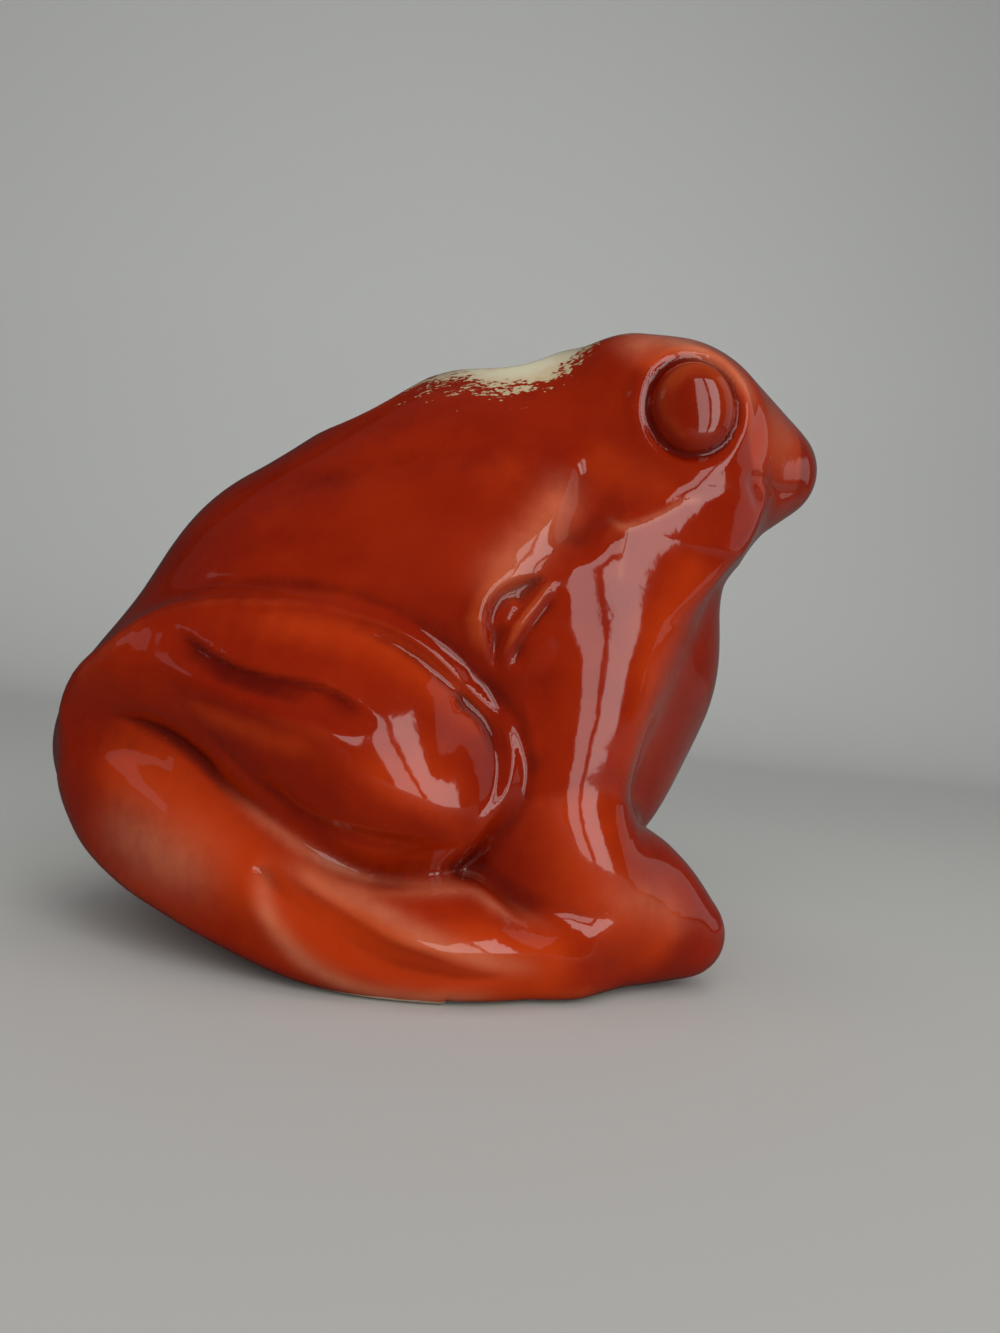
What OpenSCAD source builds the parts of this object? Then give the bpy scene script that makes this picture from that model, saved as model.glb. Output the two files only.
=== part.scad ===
// Hollow glazed ceramic frog that holds two toothbrushes through its back.
// The frog sits upright, faces +X and is mirrored about the plane y = 0.

/* [Overall] */
// Length of the frog from rump to snout
frog_length = 91; // [80:1:110]
// Radius of the rump tip
rump_radius = 9; // [8:0.5:10]
// Radius of the round underside behind the hips
haunch_radius = 20.5; // [20:0.5:22]
// Radius of the hump at the top of the rump
hump_radius = 20; // [18:0.5:21]
// Radius of the back above the flanks
flank_radius = 24; // [23:0.5:25]
// Half width of the torso at the flanks
flank_half_width = 24; // [22:0.2:24.4]
// Radius of the shoulders
shoulder_radius = 20.5; // [19.5:0.5:21.5]
// Radius of the throat
throat_radius = 11; // [10:0.5:12]
// Radius of the chest
chest_radius = 16; // [15:0.5:17]
// Radius of the belly above the front feet
belly_radius = 15; // [14:0.5:16]

/* [Head] */
// Radius of the skull
skull_radius = 13; // [12:0.5:14]
// Radius of the brow over each eye
brow_radius = 9; // [8:0.5:10]
// Radius of each cheek
cheek_radius = 10; // [9:0.5:10.5]
// Radius of the snout tip
snout_radius = 5.5; // [4.5:0.5:6.5]
// Radius of each eyeball
eye_radius = 5; // [4.5:0.25:5.5]

/* [Legs] */
// Radius of each knee
knee_radius = 9.2; // [8.6:0.2:9.8]
// Radius of the upper edge of each thigh, above its crease
thigh_edge_radius = 5; // [4.4:0.2:5.4]
// Radius of the round ridge along each thigh, below its crease
thigh_ridge_radius = 5; // [4.5:0.5:5.5]
// Radius of each thigh at the rump
hip_radius = 6; // [5:0.5:7]
// Radius of each shin where it passes the hip
shin_radius = 9.4; // [8.6:0.2:10]
// Radius of each hind foot at the ankle
ankle_radius = 6.6; // [6:0.2:7.2]
// Radius of the edges of each foreleg
foreleg_radius = 5; // [4.4:0.2:5.4]
// Radius of the ridge that runs from the jaw down the front of each foreleg
chest_ridge_radius = 5; // [4.4:0.2:5.6]
// Radius of the toes of each front foot
front_toe_radius = 5.2; // [4.6:0.2:5.6]

/* [Wall and holes] */
// Thickness of the ceramic wall
wall = 4.5; // [3.5:0.5:5.5]
// Thickness of the back around the brush holes
back_wall = 6; // [5:0.5:7]
// Thickness of the floor
floor_wall = 4.5; // [3.5:0.5:6]
// Diameter of each brush hole
brush_hole_d = 13; // [11:0.5:14]
// Distance between the brush holes along the back
brush_pitch = 18; // [17:0.5:20]
// Lean of the brush holes towards the rump, in degrees
brush_lean = 22; // [18:1:26]
// Diameter of the pour and drain hole in the floor
drain_hole_d = 16; // [12:1:20]

/* [Hidden] */
// Scale of the modelled forms, which are written for a frog 91 mm long
k = frog_length / 91;
side = 40 * k;
body_fn = 26;
limb_fn = 20;

// Radius of the flanks, seen from the side, where they are widest
flank_low_radius = 20.5;
// Torso balls: x, z, radius and half width over radius, on the middle plane
torso_balls = [
    [-36.1, 20.6, rump_radius, 1],
    [-20.5, 23.2, haunch_radius, 0.92],
    [-17.6, 34.4, hump_radius, 1.02],
    [0.5, 44.4, flank_radius, 0.84],
    [1, 40, flank_low_radius, flank_half_width / flank_low_radius],
    [9.5, 51.7, shoulder_radius, 0.93],
    [23, 47.6, throat_radius, 1.08],
    [18.1, 38, chest_radius, 1.04],
    [14.6, 24, belly_radius, 0.98]
];
// Foot of the torso: middle, half length and half width where it meets the ground
foot_middle = -3;
foot_half = [20, 20];
// Middle of the pour and drain hole
drain_x = -4;

// Radius of the cream patch of the back at each brush hole
patch_radius = 12;
// Brush holes: the point of the back halfway between them
brush_middle = [-4.5, 0, 68.5];

module ball(x, y, z, r, fn = limb_fn) {
    translate([x, y, z] * k) sphere(r = r * k, $fn = fn);
}

// The torso's skin moved inwards by a distance: 0 is the outside, the wall gives the well
module torso(inset = 0) {
    hull() {
        for (b = torso_balls)
            translate([b[0], 0, b[1]] * k)
                scale([1, (b[2] * b[3] * k - inset) / (b[2] * k - inset), 1])
                    sphere(r = b[2] * k - inset, $fn = body_fn);
        translate([foot_middle * k, 0, 0])
            scale([foot_half[0] * k - inset, foot_half[1] * k - inset, 1])
                cylinder(r = 1, h = 1, $fn = body_fn);
    }
}

// Everything below the ground, which the feet are cut to
module ground() {
    translate([-side * 2, -side * 2, -side]) cube([side * 4, side * 4, side]);
}

module above_floor() {
    translate([-side * 2, -side * 2, floor_wall]) cube([side * 4, side * 4, side * 3]);
}

module well() {
    intersection() {
        torso(wall);
        above_floor();
    }
}

// The two brush holes run across the back wall and lean with it
module along_brush_holes() {
    for (s = [-1, 1])
        translate(brush_middle * k)
            rotate([0, -brush_lean, 0])
                translate([s * brush_pitch / 2, 0, 0]) children();
}

// The cream patch of the back: a rounded slot shape round both brush holes
module patch() {
    hull() along_brush_holes() translate([0, 0, -side / 2]) cylinder(r = patch_radius * k, h = side, $fn = body_fn);
}

module torso_half(s) {
    translate([-side * 2, s > 0 ? 0 : -side * 4, -side]) cube([side * 4, side * 4, side * 4]);
}

module back_saddle() {
    color("oldlace") difference() {
        intersection() {
            torso();
            patch();
        }
        torso(back_wall);
        along_brush_holes() translate([0, 0, -side / 2]) cylinder(d = brush_hole_d, h = side, $fn = 48);
    }
}

module body_shell(s) {
    color("orangered") intersection() {
        difference() {
            torso();
            well();
            patch();
            translate([-side * 2, -side * 2, -side]) cube([side * 4, side * 4, side + floor_wall]);
        }
        torso_half(s);
    }
}

module base_floor() {
    color("linen") difference() {
        torso();
        above_floor();
        translate([drain_x * k, 0, -1]) cylinder(d = drain_hole_d, h = floor_wall + 2, $fn = 48);
        ground();
    }
}

// Forms of the right side, which the left side mirrors
module knee_ball() {
    ball(-2.8, -20, 24.4, knee_radius);
}

// The thigh is two rolls that run into the knee, with the crease between them
module thigh_form() {
    hull() {
        ball(-34.2, -14.6, 30.8, 4);
        ball(-27, -17.4, 33.6, 4.4);
        ball(-17, -21, 33.6, thigh_edge_radius);
        ball(-8.5, -22.6, 32.8, thigh_edge_radius);
        ball(-3.6, -23.2, 30.6, 4.6);
        knee_ball();
    }
    hull() {
        ball(-37, -8.6, 25, hip_radius);
        ball(-33.5, -14.8, 28.8, thigh_ridge_radius);
        ball(-19, -22.4, 28.4, thigh_ridge_radius);
        ball(-10, -23.6, 24.4, thigh_ridge_radius);
        ball(1.8, -21.8, 23, 5.8);
        knee_ball();
    }
}

module hind_foot_form() {
    hull() {
        ball(-34, -6.8, 17, 9.3);
        ball(-21.6, -16.4, 11.4, shin_radius);
        ball(-14, -21.8, 6.4, ankle_radius);
    }
    hull() {
        ball(-14, -21.8, 6.4, ankle_radius);
        ball(-4, -17, 5, 6);
        ball(-3, -24.9, 5, 5);
        ball(-0.5, -24.8, 7, 5.4);
    }
    hull() {
        ball(-4, -17, 5, 6);
        ball(-3, -24.9, 5, 5);
        ball(-0.5, -24.8, 7, 5.4);
        ball(6, -24.4, 5.2, 4.8);
        ball(15.5, -21.5, 3.6, 4);
    }
}

// The foreleg, and the chest ridge in front of it with a groove between them
module foreleg_form() {
    hull() {
        ball(10.6, -18.9, 42, 4.5);
        ball(6.6, -19, 37, 4.6);
        ball(11.2, -18.6, 28, foreleg_radius);
        ball(5, -17.6, 14, 4.5);
        ball(11, -18.6, 13, foreleg_radius);
    }
    hull() {
        ball(27, -12.9, 51, chest_ridge_radius);
        ball(17.4, -16.3, 44, chest_ridge_radius);
        ball(17.4, -16.6, 35, chest_ridge_radius);
    }
    hull() {
        ball(17.4, -16.6, 35, chest_ridge_radius);
        ball(16.4, -17.3, 24, chest_ridge_radius);
        ball(16, -17.4, 13, chest_ridge_radius);
    }
}

module front_foot_form() {
    hull() {
        ball(15, -17, 8, 6);
        ball(18, -10, 6, 5.6);
        ball(22.5, -14, 10, 7);
        ball(29, -13.5, 5.6, front_toe_radius);
        ball(19, -17.5, 4, 4.5);
    }
}

module brow_form(s) {
    hull() {
        ball(22.5, s * 10.9, 65.6, brow_radius);
        ball(28.4, s * 10.4, 64, 6.8);
        ball(15.5, s * 7.2, 66.6, 7.7);
        ball(18, 0, 61, skull_radius);
        ball(25, s * 9.4, 60, cheek_radius);
        ball(31, s * 4, 56.6, 7.2);
        ball(36, s * 3, 60.6, 6);
        ball(39.6, 0, 63.2, snout_radius);
    }
}

module eyeball_form(s) {
    hull() ball(22.7, s * 16.2, 64.3, eye_radius);
}

module head() {
    color("orangered") difference() {
        for (s = [-1, 1]) brow_form(s);
        torso();
        for (s = [-1, 1]) {
            hull() ball(22.7, s * 20, 64.3, eye_radius + 1.2);
            eyeball_form(s);
        }
    }
}

module eye(s) {
    color("firebrick") eyeball_form(s);
}

module thigh() {
    color("orangered") difference() {
        thigh_form();
        torso();
    }
}

module hind_foot() {
    color("tomato") difference() {
        hind_foot_form();
        torso();
        thigh_form();
        ground();
    }
}

module foreleg() {
    color("tomato") difference() {
        foreleg_form();
        torso();
        thigh_form();
        hind_foot_form();
        ground();
    }
}

module front_foot() {
    color("orangered") difference() {
        front_foot_form();
        torso();
        foreleg_form();
        hind_foot_form();
        ground();
    }
}

back_saddle();
body_shell(1);  // body_shell_left
body_shell(-1);  // body_shell_right
base_floor();
head();
eye(1);  // eye_left
eye(-1);  // eye_right
mirror([0, 1, 0]) thigh();  // thigh_left
thigh();  // thigh_right
mirror([0, 1, 0]) hind_foot();  // hind_foot_left
hind_foot();  // hind_foot_right
mirror([0, 1, 0]) foreleg();  // foreleg_left
foreleg();  // foreleg_right
mirror([0, 1, 0]) front_foot();  // front_foot_left
front_foot();  // front_foot_right
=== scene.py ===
import bpy
import numpy as np
from mathutils import Matrix, Vector


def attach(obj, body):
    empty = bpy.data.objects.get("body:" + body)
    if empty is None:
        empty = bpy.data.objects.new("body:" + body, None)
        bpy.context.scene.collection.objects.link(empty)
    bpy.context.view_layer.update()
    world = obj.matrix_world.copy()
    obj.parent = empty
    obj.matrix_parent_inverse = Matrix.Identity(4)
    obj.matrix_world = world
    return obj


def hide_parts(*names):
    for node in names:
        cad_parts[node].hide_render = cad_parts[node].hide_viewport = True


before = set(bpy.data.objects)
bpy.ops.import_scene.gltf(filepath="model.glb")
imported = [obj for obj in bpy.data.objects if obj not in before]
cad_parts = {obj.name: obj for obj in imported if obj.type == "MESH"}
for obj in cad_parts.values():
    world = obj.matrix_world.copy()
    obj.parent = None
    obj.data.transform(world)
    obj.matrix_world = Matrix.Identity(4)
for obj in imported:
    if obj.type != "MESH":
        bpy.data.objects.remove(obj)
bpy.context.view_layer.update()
scene = bpy.context.scene

# The form is in millimetres, in the part's frame. The frog is mirrored about y = 0, so every form takes
# the distance from that plane as y.

# Balls of the torso on the middle plane: x, z, radius
RUMP = (-36.6, 20.6, 7)
HAUNCH = (-17.97, 21.35, 20.33)
HUMP = (-11.8, 33.9, 21.75)
FLANK = (3.5, 42.21, 24.48)
SHOULDER = (8.99, 48.9, 20.76)
CHEST = (15.52, 36.02, 16.11)
BELLY = (13.6, 24.23, 13.71)
SEAT_BACK = (-13.54, 14.09, 16.96)
SEAT_FRONT = (4.01, 13, 15.51)
TORSO_BARS = [
    (RUMP, HAUNCH), (RUMP, HUMP), (HAUNCH, HUMP), (HUMP, FLANK), (FLANK, SHOULDER), (SHOULDER, CHEST),
    (CHEST, BELLY), (FLANK, BELLY), (SEAT_BACK, SEAT_FRONT), (HAUNCH, SEAT_BACK),
]
TORSO_BLEND = 7.0
# How much narrower the torso is than its balls, and how much more its back, from which height on and over
# how much of it
TORSO_NARROW = 1.11
BACK_NARROW = 0.26
BACK_FROM = 38.0
BACK_OVER = 30.0


def rise(value, start, over):
    """0 up to the start, an even rise over so much, and 1 from there."""
    return np.clip((value - start) / over, 0, 1)


def ease(t):
    """A smooth step from 0 to 1 while t goes from 0 to 1."""
    t = np.clip(t, 0, 1)
    return t * t * (3 - 2 * t)


def smooth_min(a, b, k):
    """The lower of two values, evened out where they are within k."""
    h = np.maximum(k - np.abs(a - b), 0) / k
    return np.minimum(a, b) - h * h * k / 4


def smooth_max(a, b, k):
    return -smooth_min(-a, -b, k)


def taper(p, a, ra, b, rb):
    """A ball at a blended straight into a ball at b."""
    a, b = np.asarray(a, float), np.asarray(b, float)
    axis = b - a
    length2 = axis @ axis
    step = ra - rb
    a2 = length2 - step * step
    inv = 1 / length2
    q = p - a
    y = q @ axis
    z = y - length2
    w = q * length2 - y[:, None] * axis
    x2 = (w * w).sum(1)
    y2 = y * y * length2
    z2 = z * z * length2
    k = np.sign(step) * step * step * x2
    out = (np.sqrt(x2 * a2 * inv) + y * step) * inv - ra
    far = np.sign(z) * a2 * z2 > k
    near = np.sign(y) * a2 * y2 < k
    out = np.where(near, np.sqrt(x2 + y2) * inv - ra, out)
    return np.where(far, np.sqrt(x2 + z2) * inv - rb, out)


def torso(p):
    narrow = TORSO_NARROW + BACK_NARROW * rise(p[:, 2], BACK_FROM, BACK_OVER)
    p = np.stack([p[:, 0], p[:, 1] * narrow, p[:, 2]], 1)
    out = None
    for (ax, az, ar), (bx, bz, br) in TORSO_BARS:
        part = taper(p, (ax, 0, az), ar, (bx, 0, bz), br)
        out = part if out is None else smooth_min(out, part, TORSO_BLEND)
    return out


def curve(points, steps=4, closed=False):
    """A smooth curve through points, with so many steps between two of them."""
    pts = np.asarray(points, float)
    if closed:
        pts = np.concatenate([pts[-1:], pts, pts[:2]])
    else:
        pts = np.concatenate([[2 * pts[0] - pts[1]], pts, [2 * pts[-1] - pts[-2]]])
    t = np.linspace(0, 1, steps, endpoint=False)[:, None]
    out = []
    for a, b, c, d in zip(pts[:-3], pts[1:-2], pts[2:-1], pts[3:]):
        bend = 2 * a - 5 * b + 4 * c - d
        twist = 3 * b - a - 3 * c + d
        out.append(0.5 * (2 * b + (c - a) * t + bend * t ** 2 + twist * t ** 3))
    out = np.concatenate(out)
    return out if closed else np.concatenate([out, pts[-2:-1]])


# The side view is worked out once, on sheets of fine squares
SHEET_LOW = np.array([-52.0, -10.0])
SHEET_HIGH = np.array([52.0, 88.0])
SHEET_STEP = 0.2
# How far from its line an outline, a mound and, in its widths, a fold reaches
OUTLINE_REACH = 9.0
MOUND_REACH = 16
FOLD_REACH = 3
# Steps between two values that vary along a line
VALUE_STEPS = 8
SHEET_N = np.round((SHEET_HIGH - SHEET_LOW) / SHEET_STEP).astype(int) + 1
SHEET_X, SHEET_Z = np.meshgrid(SHEET_LOW[0] + SHEET_STEP * np.arange(SHEET_N[0]),
                               SHEET_LOW[1] + SHEET_STEP * np.arange(SHEET_N[1]), indexing="ij")


def window(line, margin):
    """The part of the sheet round a line, as slices."""
    low = np.maximum(np.floor((line.min(0) - margin - SHEET_LOW) / SHEET_STEP).astype(int), 0)
    high = np.minimum(np.ceil((line.max(0) + margin - SHEET_LOW) / SHEET_STEP).astype(int) + 1, SHEET_N)
    return slice(low[0], high[0]), slice(low[1], high[1])


def near(line, margin):
    """The part of the sheet round a line, and for its squares the distance to the line, how far along it
    they are (0 to 1), and the side: 1 left, -1 right, and between those round the line's ends."""
    part = window(line, margin)
    x, z = SHEET_X[part], SHEET_Z[part]
    best = np.full(x.shape, 1e9)
    run = np.zeros(x.shape)
    side = np.ones(x.shape)
    lengths = np.linalg.norm(np.diff(line, axis=0), axis=1)
    starts = np.concatenate([[0], np.cumsum(lengths)])
    for i, (a, b) in enumerate(zip(line[:-1], line[1:])):
        d = b - a
        u, v = x - a[0], z - a[1]
        t = np.clip((u * d[0] + v * d[1]) / max(d @ d, 1e-9), 0, 1)
        dist = (u - t * d[0]) ** 2 + (v - t * d[1]) ** 2
        closer = dist < best
        best = np.where(closer, dist, best)
        run = np.where(closer, (starts[i] + t * lengths[i]) / starts[-1], run)
        lean = (d[0] * v - d[1] * u) / np.maximum(np.linalg.norm(d) * np.sqrt(dist), 1e-9)
        side = np.where(closer, np.clip(lean, -1, 1), side)
    return part, np.sqrt(best), run, side


def inside(line, part):
    """Which squares of a part of the sheet lie inside a closed line."""
    x, z = SHEET_X[part], SHEET_Z[part]
    out = np.zeros(x.shape, bool)
    for a, b in zip(line, np.roll(line, -1, axis=0)):
        if a[1] == b[1]:
            continue
        crosses = (a[1] > z) != (b[1] > z)
        out ^= crosses & (x < (b[0] - a[0]) * (z - a[1]) / (b[1] - a[1]) + a[0])
    return out


def outline(points):
    """Signed distance to a smooth closed outline in the side view, negative inside."""
    line = curve(points, closed=True)
    part, dist, _, _ = near(np.concatenate([line, line[:1]]), OUTLINE_REACH)
    out = np.full(SHEET_X.shape, OUTLINE_REACH)
    out[part] = np.minimum(np.where(inside(line, part), -dist, dist), OUTLINE_REACH)
    return out


def read(sheet, p):
    """The sheet's values at points, blended from the four squares round each."""
    u = (p[:, 0] - SHEET_LOW[0]) / SHEET_STEP
    v = (p[:, 2] - SHEET_LOW[1]) / SHEET_STEP
    i = np.clip(u.astype(int), 0, SHEET_N[0] - 2)
    j = np.clip(v.astype(int), 0, SHEET_N[1] - 2)
    a, b = np.clip(u - i, 0, 1), np.clip(v - j, 0, 1)
    return (sheet[i, j] * (1 - a) * (1 - b) + sheet[i + 1, j] * a * (1 - b)
            + sheet[i, j + 1] * (1 - a) * b + sheet[i + 1, j + 1] * a * b)


def soften(sheet, passes):
    """Evens a sheet out over about one square per pass."""
    for _ in range(passes):
        for axis in (0, 1):
            sheet = (np.roll(sheet, 1, axis) + 2 * sheet + np.roll(sheet, -1, axis)) / 4
    return sheet


def mound(axis, heights, above, below):
    """Height from the middle plane: highest on a line, and falling away above and below it. Each fall is
    its steepness and its roundness in mm, both at even steps along the line."""
    part, dist, run, side = near(curve(axis), MOUND_REACH)
    line = curve(np.stack([np.linspace(0, 1, len(heights)), heights], 1), VALUE_STEPS)
    top = np.interp(run, line[:, 0], line[:, 1])
    falls = []
    for slopes in (above, below):
        steep, roundness = [np.interp(run, np.linspace(0, 1, len(steps)), steps) for steps in slopes]
        falls.append(np.sqrt((steep * dist) ** 2 + roundness ** 2) - roundness)
    fall_up, fall_low = falls
    out = np.zeros(SHEET_X.shape)
    out[part] = top - (fall_low + (fall_up - fall_low) * (0.5 + 0.5 * side))
    return out


def folds(table):
    """A sheet of creases and ridges. Each has its line's points, its height, its width on the line's left
    and right, and the share of its length over which it fades at either end."""
    out = np.zeros(SHEET_X.shape)
    for points, height, left, right, ends in table:
        part, dist, run, side = near(curve(points), FOLD_REACH * max(left, right))
        width = right + (left - right) * (0.5 + 0.5 * side)
        fade = ease(np.clip(run / ends, 0, 1) * np.clip((1 - run) / ends, 0, 1))
        out[part] += height * np.exp(-(dist / width) ** 2) * fade
    return out


# The limbs in the side view: the outline of each, and the line along which it is highest
THIGH = [
    (-40.3, 23.8), (-37, 24.4), (-34.4, 24.4), (-31.6, 24.4), (-28.4, 23.6), (-25, 21.6), (-21, 18.4),
    (-17.3, 16), (-14, 13.6), (-10.4, 11.8), (-6.5, 10.4), (-2.6, 10.6), (0.6, 12), (3.2, 14.2),
    (5.2, 17.4), (6.7, 20.2), (7.2, 23.6), (6.5, 26.9), (4.5, 29.7), (1.7, 31.9), (-1, 34.1),
    (-4.3, 36.1), (-7.7, 37.4), (-11.5, 38.2), (-15.6, 38.6), (-19.7, 38.5), (-23.6, 38.3), (-27.6, 37.6),
    (-32, 35.8), (-36, 32.6), (-40.2, 28),
]
THIGH_AXIS = [
    (-41, 27), (-34, 28.8), (-28, 28.9), (-21, 28), (-14, 25.2), (-8, 21.4), (-3, 19.2), (1.5, 18.5),
    (6, 18.2),
]
THIGH_HEIGHTS = [14, 19.5, 22.6, 25.6, 28, 29.2, 29.2, 27.9, 25.4]
# Steepness and roundness at even steps along that line, above it and below it
THIGH_ABOVE = ([0.62, 0.62, 0.62, 0.62, 0.75, 0.76, 0.76], [3.5, 3.5, 3.5, 3.5, 5.4, 4.8, 4.8])
THIGH_BELOW = ([0.74, 0.74], [1.9, 1.9])
SHIN = [
    (-41.2, 19.8), (-39.2, 23.4), (-35.1, 23.6), (-30.3, 23), (-26.2, 21.2), (-21.1, 18.4),
    (-17.3, 16.7), (-14.8, 15.5), (-12.6, 13.9), (-10.4, 12.2), (-7.8, 11.2), (-4.9, 10.8), (-2, 11.3),
    (0.4, 11.7), (3.3, 11.7), (5.5, 10.9), (8.7, 9), (12.2, 8.1), (15.2, 7.7), (18, 6.4), (20.2, 4.2),
    (20.4, 2.4), (18.5, 0.8), (12, -2), (0, -4), (-14, -4), (-24, -3), (-30.5, 1), (-35, 6), (-38.8, 11),
    (-41, 15.5),
]
SHIN_AXIS = [
    (-42, 19), (-36, 18.2), (-29, 15.8), (-23, 12.6), (-16, 9), (-9, 6.6), (-1, 6), (8, 5.9),
    (14, 5.2), (20, 3.8),
]
SHIN_HEIGHTS = [12, 17.5, 22.5, 25.8, 28.2, 29.8, 30.4, 29.6, 26.5, 20]
SHIN_ABOVE = ([0.70, 0.70], [1.8, 1.8, 1.8, 1.3, 0.7, 0.4, 0.4, 0.6])
SHIN_BELOW = ([0.55, 0.55], [2, 2])
ARM = [
    (11.6, 46.6), (9.6, 45.4), (7.4, 41.6), (5.6, 37.5), (4.6, 33), (4.8, 29), (5.2, 24), (3.4, 18),
    (0.8, 13), (2.4, 9), (12, 6), (20, 6), (24, 9), (24.4, 13), (22.4, 17), (20.9, 21), (21.3, 25),
    (22.4, 29.4), (23.1, 33), (25, 39), (28.5, 46), (31.5, 52), (31, 56.2), (27, 55.2), (24, 54.4),
    (21.2, 53), (18.4, 51.4), (16.2, 50.2), (14.4, 49), (13, 47.7),
]
# Rows across the foreleg and chest: height, where the one turns into the other, how far out that is, and
# the radius of the chest, of the foreleg's face and of its back
ARM_ROWS = [8, 14, 20, 25, 30, 35, 40, 45, 50, 55]
ARM_TURN_X = [17.5, 15.9, 13.5, 13.9, 14.5, 14.9, 15.1, 14.9, 14.6, 14.4]
ARM_TURN_Y = [24.5, 24.8, 24.6, 24.35, 24.15, 23.95, 23.6, 22.8, 21.7, 20.5]
CHEST_ROUND = [16, 16, 16, 16, 19, 21, 28, 50, 73, 80]
ARM_ROUND = [10, 10, 10.6, 12.8, 15.8, 19.6, 21.9, 22.6, 24, 24]
ARM_ROUND_BACK = [18, 18, 18, 18, 16, 14, 14, 14, 12, 12]
# How steeply the surface goes inward, toward the front, at that line
ARM_TURN_SLOPE = 0.166
EYE = (22.9, 64.2)
EYE_OVAL = 0.9
EYE_DOME_R = 5.3
EYE_DOME_HIGH = 1.1
EYE_DOME_POWER = 2.6
# How much flatter the eyeball is than the brow, along the head and upright, and how it leans
EYE_FLAT = (0.012, 0.024)
EYE_TILT = (-0.04, 0.12)
EYE_EDGE = 1.2
EYE_GROOVE = 5.5
EYE_GROOVE_DEEP = 0.55
EYE_GROOVE_WIDE = 0.95
# The rolled brow round the eye, highest at the lid, whose angle from the front is in radians
BROW_RING = 6.9
BROW_WIDE = 1.2
BROW_HIGH = 0.15
LID_HIGH = 0.55
LID_TURN = 1.1


def round_bar(p, ends):
    (ax, ay, az, ar), (bx, by, bz, br) = ends
    return taper(p, (ax, ay, az), ar, (bx, by, bz), br)


# Head: each bar is two balls of one side, as x, y, z and radius
SKULL = [(16.92, 0.08, 60.71, 13.31), (18.96, 5.37, 63.17, 9.43)]
BROW = [(17.03, 10.05, 67.35, 6.34), (21.51, 9.95, 65.49, 7.43)]
MUZZLE = [(24.08, 7.98, 62.12, 11.71), (38.62, -0.46, 63.17, 5.97)]
CHEEK = [(23.04, 8.16, 55.78, 9.39), (38.52, 3.66, 60.91, 3.61)]
JAW = [(30.11, 1.55, 57.44, 6.4), (37.86, 0.71, 61.62, 3.38)]
HEAD_BLEND = 4.0


def head(p):
    out = smooth_min(round_bar(p, SKULL), round_bar(p, BROW), HEAD_BLEND)
    for bar in (MUZZLE, CHEEK, JAW):
        out = smooth_min(out, round_bar(p, bar), HEAD_BLEND)
    return out


# Front foot
WRIST = [(14.99, 16.8, 8.82, 6.22), (22.99, 13.7, 7.42, 7.6)]
TOES = [(21.4, 13.84, 10.48, 7.05), (28.95, 13.69, 5.94, 4.94)]
SOLE = [(13.36, 20.34, 3.4, 5.94), (26.99, 12.86, 4.7, 3.2)]
TOES_BLEND = 3.0
SOLE_BLEND = 2.5


def front_foot(p):
    toes = smooth_min(round_bar(p, WRIST), round_bar(p, TOES), TOES_BLEND)
    return smooth_min(toes, round_bar(p, SOLE), SOLE_BLEND)


# How many times each kind of sheet is evened out
LIMB_PASSES = 6
FORELEG_PASSES = 2
RELIEF_PASSES = 2
EYE_PASSES = 1
HIGHLIGHT_PASSES = 1


def make_sheets():
    """Every sheet by name: for a limb its outline, and as _up its height from the middle plane."""
    return {
        "thigh": outline(THIGH),
        "thigh_up": soften(mound(THIGH_AXIS, THIGH_HEIGHTS, THIGH_ABOVE, THIGH_BELOW), LIMB_PASSES),
        "shin": outline(SHIN),
        "shin_up": soften(mound(SHIN_AXIS, SHIN_HEIGHTS, SHIN_ABOVE, SHIN_BELOW), LIMB_PASSES),
        "arm": outline(ARM),
        "arm_up": soften(foreleg_sheet(), FORELEG_PASSES),
        "relief": soften(relief(), RELIEF_PASSES),
        "eye": soften(eye_relief(), EYE_PASSES),
        # the thin glaze's orange, with painted sheen and painted shade
        "thin_glaze_and_light": np.clip(folds(THIN_GLAZE_AND_LIGHT), -1, 1),
        # the painted highlights along the ridges
        "painted_highlight": np.clip(soften(folds(HIGHLIGHT_LINES), HIGHLIGHT_PASSES), 0, 1),
    }


def rows(values):
    """A value given at the rows across the foreleg, spread over the whole sheet."""
    line = curve(np.stack([ARM_ROWS, values], 1), VALUE_STEPS)
    return np.interp(SHEET_Z, line[:, 0], line[:, 1])


def foreleg_sheet():
    """The foreleg and chest are one form, rounder behind the line where the one turns into the other."""
    ahead = SHEET_X - rows(ARM_TURN_X)
    face = rows(ARM_ROUND)
    radius = np.where(ahead > 0, rows(CHEST_ROUND), face)
    front = rows(ARM_TURN_Y) - ARM_TURN_SLOPE * ahead - ahead ** 2 / (2 * radius)
    crest = -ARM_TURN_SLOPE * face
    crest_y = rows(ARM_TURN_Y) + ARM_TURN_SLOPE ** 2 * face / 2
    back = crest_y - (ahead - crest) ** 2 / (2 * rows(ARM_ROUND_BACK))
    return np.where(ahead < crest, back, front)


# The thigh's rolled edge: each ridge's or groove's height, distance outside the outline, and width
THIGH_ROLL = [(0.30, -0.9, 0.6), (-0.30, -2.3, 0.8), (-0.35, 0.9, 0.9)]
# Where the roll starts, and how far it takes to rise
ROLL_FROM_Z = (16, 6)
ROLL_FROM_X = (-30, 10)
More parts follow.
